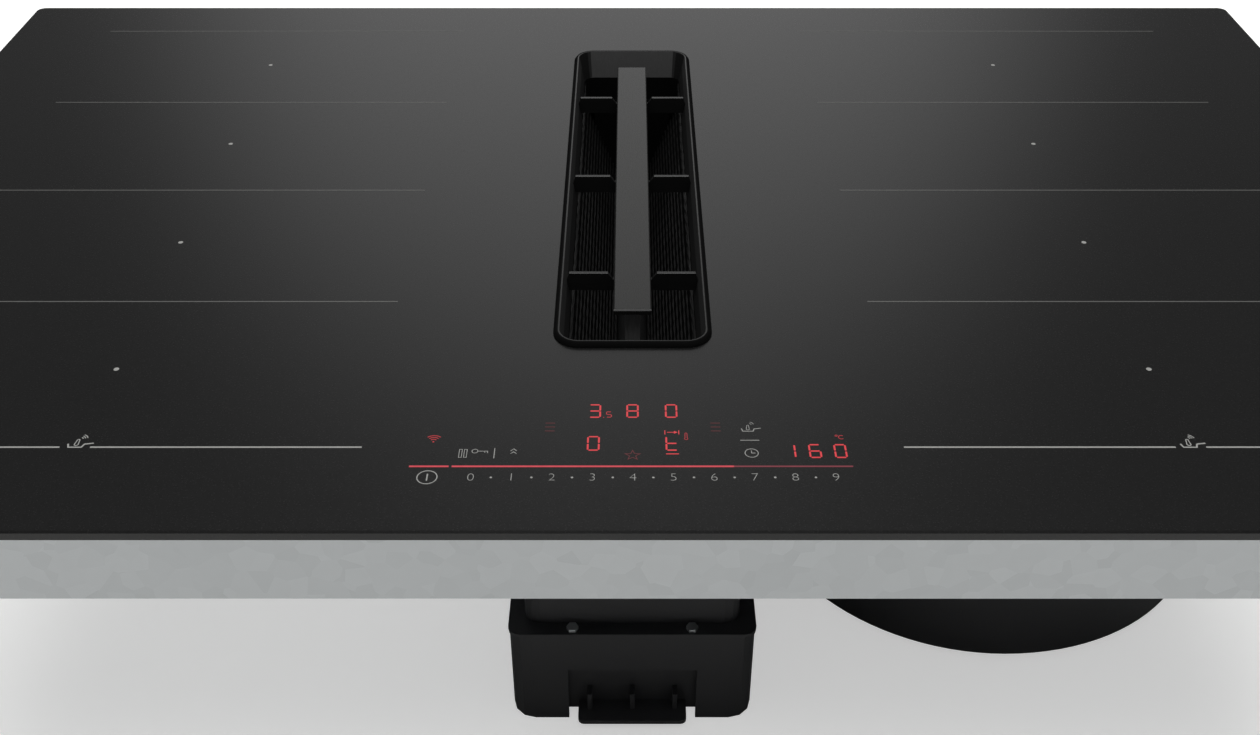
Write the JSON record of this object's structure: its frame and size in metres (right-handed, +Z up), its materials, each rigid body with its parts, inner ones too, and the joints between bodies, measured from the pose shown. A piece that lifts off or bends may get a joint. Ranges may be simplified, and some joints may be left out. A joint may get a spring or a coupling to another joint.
{
  "type": "downdraft induction cooktop",
  "caption": "Flat black glass induction cooktop with a central lift-out downdraft inlet, grease filter, blower in a spiral housing and overflow tank underneath.",
  "frame": {"origin": "middle of the glass plate in plan, on the plane that the lower housing and its feet stand on", "axes": "+X to the cook's right along the front edge, +Y away from the cook, +Z up"},
  "size_m": [0.802, 0.522, 0.2256],
  "materials": {
    "glass_ceramic": "gloss",
    "foam_seal": "matt",
    "dark_aluminium": "satin",
    "satin_aluminium": "satin",
    "post_aluminium": "satin",
    "filter_steel": "woven",
    "black_steel": "satin",
    "zinc_steel": "satin",
    "black_plastic": "fine grain",
    "grey_plastic": "satin",
    "fan_plastic": "satin",
    "coil_plastic": "matt",
    "copper": "stranded",
    "ferrite": "matt",
    "mica": "pearly",
    "sensor_brass": "satin",
    "plate_aluminium": "mill",
    "board_green": "satin",
    "component_black": "satin",
    "motor_steel": "satin"
  },
  "bodies": {
    "hob": {"air_shaft": "black_plastic", "board_standoffs": "sensor_brass", "cable_gland": "black_plastic", "carrier_springs": "zinc_steel", "casing": "zinc_steel", "clamp_screws": "zinc_steel", "coil_sensors": "sensor_brass", "display_light_box": "coil_plastic", "duct_spigot": "black_plastic", "ferrite_bars": "ferrite", "glass_top": "glass_ceramic", "housing_screws": "zinc_steel", "inlet_bellmouth": "black_plastic", "inlet_collar": "black_plastic", "left_board_components": "component_black", "left_coil_carrier": "plate_aluminium", "left_coil_formers": "coil_plastic", "left_coil_windings": "copper", "left_cooling_fan_housing": "fan_plastic", "left_heat_sink": "plate_aluminium", "left_power_board": "board_green", "lower_housing": "black_plastic", "mica_sheets": "mica", "motor_stator": "motor_steel", "plenum_hood": "black_plastic", "right_board_components": "component_black", "right_coil_carrier": "plate_aluminium", "right_coil_formers": "coil_plastic", "right_coil_windings": "copper", "right_cooling_fan_housing": "fan_plastic", "right_heat_sink": "plate_aluminium", "right_power_board": "board_green", "shaft_frame": "zinc_steel", "shaft_gasket": "foam_seal", "shaft_screws": "zinc_steel", "tank_seal": "foam_seal", "terminal_block": "coil_plastic", "terminal_box": "black_plastic", "terminal_cover": "black_plastic", "touch_board": "board_green", "touch_pads": "foam_seal", "upper_housing": "black_plastic", "worktop_clamps": "zinc_steel", "worktop_seal": "foam_seal"},
    "lift_out_inlet": {"inlet_frame": "dark_aluminium", "rim_gasket": "foam_seal", "handle_bar": "satin_aluminium", "handle_posts": "post_aluminium", "filter_tray": "black_steel", "left_mesh_panel": "filter_steel", "right_mesh_panel": "filter_steel", "post_screws": "zinc_steel"},
    "overflow_tank": {"overflow_tank": "black_plastic"},
    "blower_rotor": {"impeller": "grey_plastic", "motor_rotor": "motor_steel", "impeller_nut": "zinc_steel"},
    "left_cooling_fan": {"left_cooling_fan_rotor": "fan_plastic"},
    "right_cooling_fan": {"right_cooling_fan_rotor": "fan_plastic"}
  },
  "joints": [
    {"name": "inlet_lift", "type": "slide", "parent": "hob", "child": "lift_out_inlet", "axis": [0, 0, 1], "range_m": [0, 0.15]},
    {"name": "tank_lowering", "type": "slide", "parent": "hob", "child": "overflow_tank", "axis": [0, 0, -1], "range_m": [0, 0.06]},
    {"name": "impeller_spin", "type": "hinge", "parent": "hob", "child": "blower_rotor", "pos_m": [0.196, 0.008, 0.05], "axis": [0, 0, 1], "continuous": true},
    {"name": "left_cooling_fan_spin", "type": "hinge", "parent": "hob", "child": "left_cooling_fan", "pos_m": [-0.247, -0.178, 0.18], "axis": [0, 0, 1], "continuous": true},
    {"name": "right_cooling_fan_spin", "type": "hinge", "parent": "hob", "child": "right_cooling_fan", "pos_m": [0.247, -0.178, 0.18], "axis": [0, 0, 1], "continuous": true}
  ]
}
